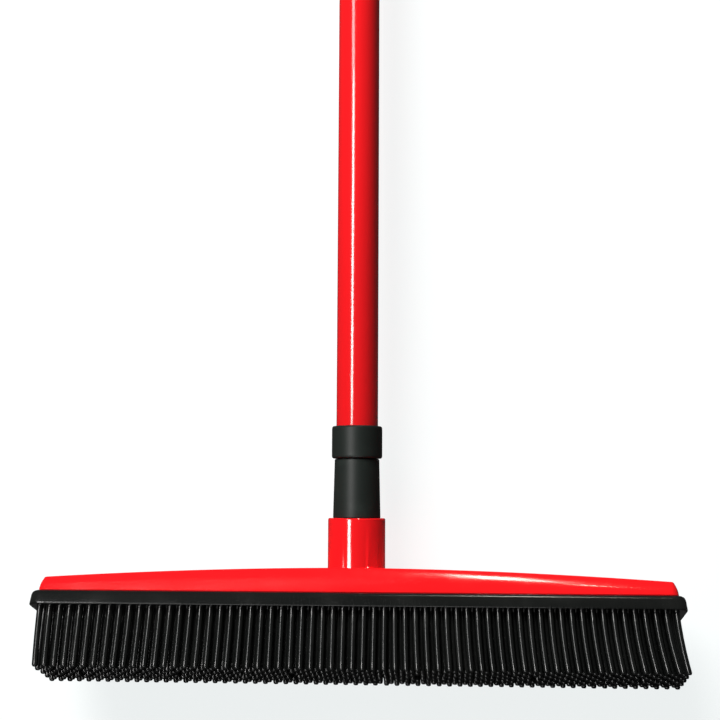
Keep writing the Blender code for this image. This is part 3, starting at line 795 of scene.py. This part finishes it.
@dataclass
class BrushPad:
    """The rubber pad: a lipped block with staggered rows of tapered fingers."""

    head: HeadFrame
    length: float = 333 * MM
    depth: float = 44 * MM
    corner: float = 6 * MM
    top: float = -0.3 * MM
    underside: float = -7.9 * MM
    lip_round: float = 2.6 * MM
    pocket_edge: float = 0.5 * MM
    foot_edge: float = 0.9 * MM
    draft: float = 0.8 * MM
    pocket_inset: float = 6.2 * MM
    floor: float = 3.6 * MM
    column_pitch: float = 5.19 * MM
    row_pitch: float = 4 * MM
    columns: int = 31
    rows: int = 4
    root_radius: float = 1.55 * MM
    tip_radius: float = 1.5 * MM
    finger_length: float = 32.4 * MM
    root_flare: float = 0.35 * MM
    falls: tuple[float, ...] = (-0.02, 0.0, 0.018, 0.2, 0.42, 0.64, 0.84, 0.965, 0.992, 1.0)
    dome: tuple[float, ...] = (1.0, 0.72, 0.0)
    stiffness: float = 0.35
    sides: int = 8
    crisp: float = 62.0
    screw_columns: tuple[int, ...] = (-27, -17, -6, 6, 17, 27)
    parting: float = 14 * MM
    parting_lean: float = 0.3 * MM
    parting_run: float = 6 * MM
    left_start: float = 28 * MM
    left_run: float = 35 * MM
    left_lean: float = 0.6 * MM
    left_curl: float = 2.2 * MM
    right_start: float = 0.2 * MM
    right_run: float = 40 * MM
    right_lean: float = 2.7 * MM
    right_curl: float = 3.2 * MM
    right_fade: float = 2.4 * MM
    forward: float = 0.35 * MM
    backward: float = 0.3 * MM
    end_gap: float = 0.1 * MM
    front_short: float = 1.4 * MM
    front_sway: float = 0.09 * MM
    inner_sway: float = 0.22 * MM
    seed: int = 7

    def body(self) -> Piece:
        """The lipped block, with the pocket that holds the core plate."""
        outline = Outline(self.length, self.depth, self.corner, np.linspace(-0.98, 0.98, 60))
        inner = self.pocket_inset
        corners = [
            (inner, self.underside + self.floor, 0),
            (inner, self.top, self.pocket_edge),
            (self.draft, self.top, self.lip_round),
            (0, self.underside, self.foot_edge),
            (inner, self.underside, 0),
        ]
        rows = [np.insert(outline.loop(inset), 2, z, axis=1) for inset, z in softened(corners, 7)]
        first, last = rows[0] * (1, 0, 1), rows[-1] * (1, 0, 1)
        points = np.stack([first, *rows, last])
        return skin("pad_block", self.head.place(points), sharp=MOULDED_CRISP)

    def finger_roots(self) -> Array:
        """(x, y) of each finger: alternate rows are set half a pitch across."""
        places = []
        for row in range(-self.rows, self.rows + 1):
            half = (row + self.rows) % 2
            column = np.arange(-self.columns, self.columns + 1 - half) + 0.5 * half
            if row == 0:
                column = column[~np.isin(column, self.screw_columns)]
            y = np.full(len(column), row * self.row_pitch)
            places.append(np.column_stack([column * self.column_pitch, y]))
        return np.concatenate(places)

    def lean(self, x: Array, back: Array) -> Array:
        """How far the tips lean along X.

        Left of the parting they lean left by a smooth step, and the last ones curl back by the
        eighth power of x. Right of it they lean right by a (1 - e^(-d / run)) plus the sixth power
        of x, which fades towards the back rows. d is the distance from the parting.

        Args:
            x: the roots' X.
            back: 0 for the front row to 1 for the back one.

        Returns:
            The tips' offsets.
        """
        away, share = np.abs(x - self.parting), np.abs(x) / (self.length / 2)
        step = np.clip((-x - self.left_start) / self.left_run, 0, 1)
        left = -self.left_lean * step**2 * (3 - 2 * step) + self.left_curl * share**8
        left -= self.parting_lean * np.exp(-away / self.parting_run)
        right = self.right_start + self.right_lean * (1 - np.exp(-away / self.right_run))
        right += (self.right_curl - self.right_fade * back) * share**6
        return np.where(x < self.parting, left, right)

    def fingers(self) -> Piece:
        """All fingers in one mesh.

        A finger is a stack of rings whose centre runs down by t times the length and across by
        the lean times k t + (1 - k) t^2, with k the stiffness; its radius falls evenly to the tip,
        which is a dome. The front rows are worn a little shorter than the back ones.

        Returns:
            The object.
        """
        roots = self.finger_roots()
        chance = np.random.default_rng(self.seed)
        inner = np.abs(roots[:, 1:] + self.row_pitch / 2) < (self.rows - 1) * self.row_pitch
        sway = chance.normal(0, 1, (len(roots), 2)) * np.where(inner, self.inner_sway, self.front_sway)
        back = roots[:, 1] / (2 * self.rows * self.row_pitch) + 0.5
        across = np.column_stack([self.lean(roots[:, 0], back), self.backward * back - self.forward])
        across += sway
        limit = self.length / 2 - self.tip_radius - self.end_gap
        across[:, 0] = np.clip(across[:, 0], -limit - roots[:, 0], limit - roots[:, 0])
        reach = (self.finger_length - self.front_short * (1 - back))[:, None, None]
        fall = np.array(self.falls)
        radius = self.root_radius + (self.tip_radius - self.root_radius) * fall
        radius[:2] += self.root_flare
        radius[-len(self.dome) :] = self.tip_radius * np.array(self.dome)
        bend = np.clip(self.stiffness * fall + (1 - self.stiffness) * fall**2, 0, None)
        centre = roots[:, None, :] + across[:, None, :] * bend[:, None]
        angle = (np.arange(self.sides) + 0.5) * TAU / self.sides
        circle = np.column_stack([np.cos(angle), np.sin(angle)])
        flat = centre[:, :, None, :] + radius[:, None, None] * circle
        height = np.broadcast_to(self.underside - reach * fall[:, None], flat.shape[:3])
        points = np.concatenate([flat, height[..., None]], axis=-1)
        rings = len(fall)
        root_cap = np.array([[0, 1, 2, 3], [0, 3, 4, 7], [4, 5, 6, 7]])
        pattern = np.concatenate([grid_quads(rings, self.sides, False), root_cap])
        starts = np.arange(len(roots))[:, None, None] * rings * self.sides
        quads = (pattern + starts).reshape(-1, 4)
        return mesh_piece("finger_field", self.head.place(points).reshape(-1, 3), quads, self.crisp)

    def build(self) -> None:
        """Makes the pad's two meshes and puts them on the head."""
        for name, piece in (("rubber_pad_lip", self.body()), ("rubber_fingers", self.fingers())):
            piece.name = name
            settle(piece, PAD_BLACK, Body.HEAD, "brush_pad")


# ---- the handle


def pipe(name: str, node: str, wall: float, edge: float) -> Piece:
    """A tube that is open at both ends.

    Args:
        name: the object's name.
        node: the CAD node that it stands for.
        wall: its thickness.
        edge: how far its edges are broken.

    Returns:
        The tube.
    """
    low, high, radius = span(node)
    bore = radius - wall
    corners = [(bore, low), (radius, low), (radius, high), (bore, high)]
    profile = softened([(*corner, edge) for corner in corners], 3, closed=True)
    return skin(name, turned(profile), ring=True)


@dataclass
class LowerHandle:
    """Ferrule, collar, outer tube and guide bush, which move as one."""

    rim: float
    tube_wall: float = 0.5 * MM
    tube_edge: float = 0.15 * MM
    collar_bore: float = 11.3 * MM
    collar_round: float = 1.6 * MM
    neck_radius: float = 11.75 * MM
    insert_wall: float = 3 * MM
    insert_taper: float = 1.5 * MM
    insert_floor: float = 13 * MM
    spigot_radius: float = 9.8 * MM
    spigot_nose: float = 0.6 * MM
    rim_gap: float = 0.03 * MM
    thread_pitch: float = 5 * MM
    thread_depth: float = 1.2 * MM
    thread_rows: int = 140
    thread_fade: float = 2 * MM
    bush_neck: float = 1.9 * MM
    bush_play: float = 0.35 * MM
    bush_step: float = 4 * MM
    bush_grooves: int = 5
    groove_start: float = 3.5 * MM
    groove_pitch: float = 2.4 * MM
    groove_depth: float = 0.5 * MM

    def collar(self) -> None:
        """The ring over the tube's foot, with rounded outer edges."""
        low, high, radius = span("tube_collar")
        corners = [
            (self.collar_bore, low, 0.2 * MM),
            (radius, low, self.collar_round),
            (radius, high, self.collar_round),
            (self.collar_bore, high, 0.3 * MM),
        ]
        piece = skin("black_tube_collar", turned(softened(corners, closed=True)), ring=True)
        settle(piece, FITTING_BLACK, Body.LOWER, "tube_collar")

    def ferrule(self) -> None:
        """The tapered end piece with its threaded spigot and hollow insert."""
        low, high, radius = span("ferrule")
        insert = span("outer_tube")[2] - self.tube_wall - PLAY
        shoulder = span("tube_collar")[0] - PLAY
        foot = self.rim + self.rim_gap
        bore, floor = insert - self.insert_wall, low + self.insert_floor
        upper = [
            (self.spigot_radius, foot, 0),
            (radius, foot, 0.6 * MM),
            (self.neck_radius, shoulder, 0.8 * MM),
            (insert, shoulder, 0.2 * MM),
            (insert, high, 0.8 * MM),
            (bore, high, 0.4 * MM),
            (bore - self.insert_taper, floor, 1.0 * MM),
            (0, floor, 0),
        ]
        root = self.spigot_radius - self.thread_depth
        rows = np.linspace(low + self.spigot_nose, foot - 0.05 * MM, self.thread_rows)
        spigot = np.column_stack([np.full(self.thread_rows, root), rows])
        nose = np.array([[0, low], [root - self.spigot_nose, low]])
        points = turned(np.concatenate([nose, spigot, softened(upper)]))
        self.cut_thread(points[len(nose) :][: self.thread_rows], low, foot)
        piece = skin("black_ferrule", points)
        settle(piece, FITTING_BLACK, Body.LOWER, "ferrule")

    def cut_thread(self, points: Array, low: float, high: float) -> None:
        """Raises a right-handed helical ridge on the spigot's rows, in place.

        The ridge's share of the depth is clip(1.6 - 4 |p - 1/2|, 0, 1), where p is the fraction of
        height / pitch - angle / turn; it fades in at both ends.

        Args:
            points: (rows, columns, 3).
            low: height of the spigot's foot.
            high: height of its top.
        """
        x, y, z = np.moveaxis(points, -1, 0)
        angle = np.arctan2(y, x)
        phase = (z / self.thread_pitch - angle / TAU) % 1
        ridge = np.clip(1.6 - 4 * np.abs(phase - 0.5), 0, 1)
        fade = np.clip(np.minimum(z - low, high - z) / self.thread_fade, 0, 1)
        grown = 1 + ridge * fade * self.thread_depth / (self.spigot_radius - self.thread_depth)
        points[..., :2] *= grown[..., None]

    def bush(self) -> None:
        """The guide bush: a grooved sleeve that narrows to the inner tube."""
        low, high, radius = span("guide_bush")
        _, top, tube = span("outer_tube")
        lap, guide = tube + PLAY, span("inner_tube")[2] + self.bush_play
        neck, stop = guide + self.bush_neck, top + PLAY
        corners = [(lap, low, 0.2 * MM), (radius, low, 0.8 * MM)]
        for groove in range(self.bush_grooves):
            height = low + self.groove_start + self.groove_pitch * groove
            for side, reach in ((-1, 0.2 * MM), (0, 0.3 * MM), (1, 0.2 * MM)):
                inward = self.groove_depth * (1 - abs(side))
                corners.append((radius - inward, height + side * self.groove_depth, reach))
        corners += [
            (radius, top + self.bush_step, 1.5 * MM),
            (neck + 0.6 * MM, high - MM, 1.0 * MM),
            (neck, high, 0.5 * MM),
            (guide, high, 0.3 * MM),
            (guide, stop, 0),
            (lap, stop, 0),
        ]
        piece = skin("black_guide_bush", turned(softened(corners, 4, closed=True)), ring=True)
        settle(piece, FITTING_BLACK, Body.LOWER, "guide_bush")

    def build(self) -> None:
        """Makes the four pieces; the pin stays as it is."""
        tube = pipe("red_outer_tube", "outer_tube", self.tube_wall, self.tube_edge)
        settle(tube, TUBE_RED, Body.LOWER, "outer_tube")
        self.collar()
        self.ferrule()
        self.bush()
        redress("ferrule_pin", ZINC)


@dataclass
class UpperHandle:
    """Inner tube, grip, end cap with its eye, and the lock's plug and screw."""

    tube_wall: float = 0.4 * MM
    tube_edge: float = 0.12 * MM
    grooves: int = 22
    groove_depth: float = 0.8 * MM
    barrel: float = 0.8 * MM
    grip_edge: float = 2 * MM
    dome_height: float = 7 * MM
    skirt: float = 2 * MM
    eye_radius: float = 4 * MM
    eye_outer: float = 10 * MM
    eye_rise: float = 18 * MM
    eye_foot: float = 4.5 * MM
    eye_thickness: float = 6 * MM
    eye_round: float = 0.09
    flare: float = 1.4 * MM
    flare_depth: float = 0.7 * MM

    def grip(self) -> None:
        """The soft sleeve, slightly barrel-shaped, with rings round it.

        Its radius is R - g (1 - cos(2 pi n s)) / 2 - b (2s - 1)^4, with s from 0 to 1 up the
        sleeve, n grooves of depth g and a barrel of b. The grooves fade out at both ends.
        """
        low, high, radius = span("hand_grip")
        inner = span("inner_tube")[2] + PLAY
        share = np.linspace(0.03, 0.97, 260)
        wave = 0.5 * self.groove_depth * (1 - np.cos(TAU * self.grooves * share))
        fade = np.clip(np.minimum(share, 1 - share) / 0.05 - 0.6, 0, 1)
        across = radius - wave * fade - self.barrel * (2 * share - 1) ** 4
        side = np.column_stack([across, low + share * (high - low)])
        first, last = side[0], side[-1]
        foot = [(inner, low, 0), (first[0], low, self.grip_edge), (*first, 0)]
        top = [(*last, 0), (last[0], high, self.grip_edge), (inner, high, 0)]
        profile = np.concatenate([softened(foot, 8), side[1:-1], softened(top, 8)])
        piece = skin("black_hand_grip", turned(profile), ring=True)
        settle(piece, GRIP_BLACK, Body.UPPER, "hand_grip")

    def eye(self) -> Piece:
        """The flat eye: a rounded section carried round the hole and down to the cap."""
        angle = np.linspace(0, math.pi, 33)
        arch = np.column_stack([np.cos(angle), np.sin(angle)]) * self.eye_outer
        foot = self.eye_foot - self.eye_rise
        outer = np.concatenate([[[self.eye_outer, foot]], arch, [[-self.eye_outer, foot]]])
        middle = np.array([0.0, foot / 2])
        half = self.eye_thickness / 2
        turn = np.linspace(0, math.pi, ARC_POINTS)
        scale = np.concatenate([[0.0], 1 - (1 - np.sin(turn)) * self.eye_round, [0.0]])
        level = np.concatenate([[-half], -np.cos(turn) * half, [half]])
        flat = middle + (outer - middle) * scale[:, None, None]
        y = np.broadcast_to(level[:, None], flat.shape[:2])
        return skin("eye_plate", np.stack([flat[..., 0], y, flat[..., 1]], axis=-1))

    def cap(self) -> None:
        """The end cap: domed shoulder, plug in the tube and the eye with its drilled hole."""
        low, _, shoulder = span("end_cap")
        _, tube_top, tube = span("inner_tube")
        plug, foot = tube - self.tube_wall - PLAY, tube_top + PLAY
        spring = foot + self.skirt
        dome = np.linspace(0.1, math.pi / 2, 14)
        stem = softened([(0, low, 0), (plug, low, MM), (plug, foot, 0)], 5)
        skirt = softened([(plug, foot, 0), (shoulder, foot, 0.6 * MM), (shoulder, spring, 0)], 5)
        top = np.column_stack([shoulder * np.cos(dome), spring + self.dome_height * np.sin(dome)])
        profile = np.concatenate([stem, skirt, top])
        profile[-1, 0] = 0
        piece = skin("cap_body", turned(profile))
        combine(piece, self.eye(), Operation.JOIN)
        half = self.eye_thickness / 2
        waist = half - self.flare_depth
        corners = [
            (0, -half - MM, 0),
            (self.eye_radius + self.flare, -half - MM, 0),
            (self.eye_radius, -waist, 0.8 * MM),
            (self.eye_radius, waist, 0.8 * MM),
            (self.eye_radius + self.flare, half + MM, 0),
            (0, half + MM, 0),
        ]
        drill = turned(softened(corners))[..., (0, 2, 1)]
        combine(piece, skin("eye_drill", drill), Operation.CUT)
        piece.name = "black_end_cap"
        crisp(piece, MOULDED_CRISP)
        settle(piece, FITTING_BLACK, Body.UPPER, "end_cap")

    def build(self) -> None:
        """Makes the outer pieces; the lock's plug, pin and screw stay as they are."""
        tube = pipe("red_inner_tube", "inner_tube", self.tube_wall, self.tube_edge)
        settle(tube, TUBE_RED, Body.UPPER, "inner_tube")
        self.grip()
        self.cap()
        for node, finish in (("lock_plug", NYLON), ("plug_pin", ZINC), ("cam_screw", ZINC)):
            redress(node, finish)


# ---- the studio


@dataclass(frozen=True)
class Lamp:
    """A rectangular soft light, placed from the socket's rim and aimed at it.

    Azimuth 0 is in front, with positive to the right; both angles are in degrees.
    """

    name: str
    azimuth: float
    elevation: float
    distance: float
    size: tuple[float, float]
    power: float
    colour: Colour
    reach: Reach

    def build(self, target: Vector) -> None:
        """Adds the light."""
        light = bpy.data.lights.new(self.name, "AREA")
        light.shape = "RECTANGLE"
        light.size, light.size_y = self.size
        light.energy = self.power
        light.color = self.colour
        lamp = bpy.data.objects.new(self.name, light)
        away = heading(self.azimuth, self.elevation)
        lamp.location = target + away * self.distance
        lamp.rotation_euler = away.to_track_quat("Z", "Y").to_euler()
        lamp.visible_camera = False
        lamp.visible_diffuse = self.reach is not Reach.GLOSS
        lamp.visible_glossy = self.reach is not Reach.SOFTNESS
        bpy.context.scene.collection.objects.link(lamp)


def heading(azimuth: float, elevation: float) -> Vector:
    """The direction at an azimuth and elevation, in degrees; azimuth 0 is -Y and 90 is +X."""
    around, up = math.radians(azimuth), math.radians(elevation)
    return Vector((math.sin(around) * math.cos(up), -math.cos(around) * math.cos(up), math.sin(up)))


@dataclass
class Studio:
    """Paper sweep, lights and camera."""

    head: HeadFrame
    distance: float = 691.5 * MM
    azimuth: float = 3.61
    elevation: float = -6.38
    roll: float = 0.29
    aim_x: float = 1.3 * MM
    aim_rise: float = 83.5 * MM
    lens: float = 65.0
    wall_y: float = 35 * MM
    wall_bend: float = 0.15
    paper_reach: float = 4.0
    floor_drop: float = 0.5
    surround: float = 0.06
    backdrop: float = 0.92
    lamps: tuple[Lamp, ...] = (
        Lamp("key_strip", -26.5, 6.8, 3.0, (0.55, 1.34), 58.0, (1.0, 0.98, 0.97), Reach.GLOSS),
        Lamp("finger_light", -30.0, 25.2, 3.0, (0.7, 0.56), 12.0, WHITE, Reach.GLOSS),
        Lamp("small_window", 16.0, 67.0, 1.5, (0.14, 0.22), 3.2, (1.0, 0.97, 0.84), Reach.GLOSS),
        Lamp("ceiling_spot", 22.0, 58.0, 1.5, (0.03, 0.05), 0.3, (1.0, 0.97, 0.84), Reach.GLOSS),
        Lamp("floor_glow", -12.0, -38.0, 0.8, (0.6, 0.3), 2.3, WHITE, Reach.GLOSS),
        Lamp("soft_left", -28.0, 42.0, 2.0, (1.1, 1.1), 61.0, (1.0, 0.99, 0.98), Reach.SOFTNESS),
        Lamp("back_fill", 172.0, 30.0, 2.0, (1.2, 1.2), 40.0, WHITE, Reach.SOFTNESS),
    )

    def sweep(self) -> None:
        """Pale paper: a floor well below, so that the handle can lengthen, curving up into a wall.

        The section runs along the floor, round a quarter circle and up, and is carried along X.
        """
        floor, radius, reach = CAD_BOX[0].z - self.floor_drop, self.wall_bend, self.paper_reach
        turn = np.linspace(0, math.pi / 2, 17)
        y = np.concatenate([[-reach], self.wall_y - radius + radius * np.sin(turn), [self.wall_y]])
        z = np.concatenate([[floor], floor + radius - radius * np.cos(turn), [floor + reach]])
        x = np.linspace(-reach, reach, 5)[:, None]
        points = np.stack([x + 0 * y, y + 0 * x, z + 0 * x], axis=-1)
        quads = grid_quads(*points.shape[:2], ring=False, loops=False)
        piece = mesh_piece("studio_sweep", points.reshape(-1, 3), quads)
        if piece.data.polygons[0].normal.z < 0:
            piece.data.flip_normals()
        PAPER.coat(piece)
        piece.visible_diffuse = piece.visible_glossy = piece.visible_shadow = False

    def world(self) -> None:
        """A dim even surround that still looks pale behind the object."""
        world = bpy.data.worlds.new("studio")
        world.use_nodes = True
        tree = world.node_tree
        path = tree.nodes.new("ShaderNodeLightPath")
        level = tree.nodes.new("ShaderNodeMapRange")
        level.inputs["To Min"].default_value = self.surround
        level.inputs["To Max"].default_value = self.backdrop
        tree.links.new(path.outputs["Is Camera Ray"], level.inputs["Value"])
        background = tree.nodes["Background"]
        background.inputs["Color"].default_value = (1.0, 1.0, 1.0, 1.0)
        tree.links.new(level.outputs["Result"], background.inputs["Strength"])
        bpy.context.scene.world = world

    def camera(self) -> None:
        """The camera: close in front, a little to the right, level with the socket, looking up."""
        data = bpy.data.cameras.new("camera")
        data.lens = self.lens
        data.sensor_width = 36.0
        data.clip_start, data.clip_end = 0.01, 50.0
        camera = bpy.data.objects.new("camera", data)
        away = heading(self.azimuth, self.elevation)
        aim = Vector((self.aim_x, 0, self.head.rim + self.aim_rise))
        turn = away.to_track_quat("Z", "Y").to_matrix().to_4x4()
        roll = Matrix.Rotation(math.radians(self.roll), 4, "Z")
        camera.matrix_world = Matrix.Translation(aim + away * self.distance) @ turn @ roll
        bpy.context.scene.collection.objects.link(camera)
        bpy.context.scene.camera = camera

    def build(self) -> None:
        """Sets the stage."""
        self.sweep()
        self.world()
        for lamp in self.lamps:
            lamp.build(Vector((0, 0, self.head.rim)))
        self.camera()
        bpy.context.scene.view_settings.view_transform = "Standard"


def main() -> None:
    """Builds each sub-assembly in turn."""
    logging.basicConfig(level=logging.INFO, format="%(name)s: %(message)s")
    head = HeadFrame()
    Studio(head).build()
    Housing(head).build()
    BrushPad(head).build()
    LowerHandle(rim=head.rim).build()
    UpperHandle().build()
    redress("core_plate", FITTING_BLACK)
    redress("cam_ring", NYLON)
    for number in range(1, 7):
        redress(f"pad_screw_{number}", ZINC)


if __name__ == "__main__":
    main()
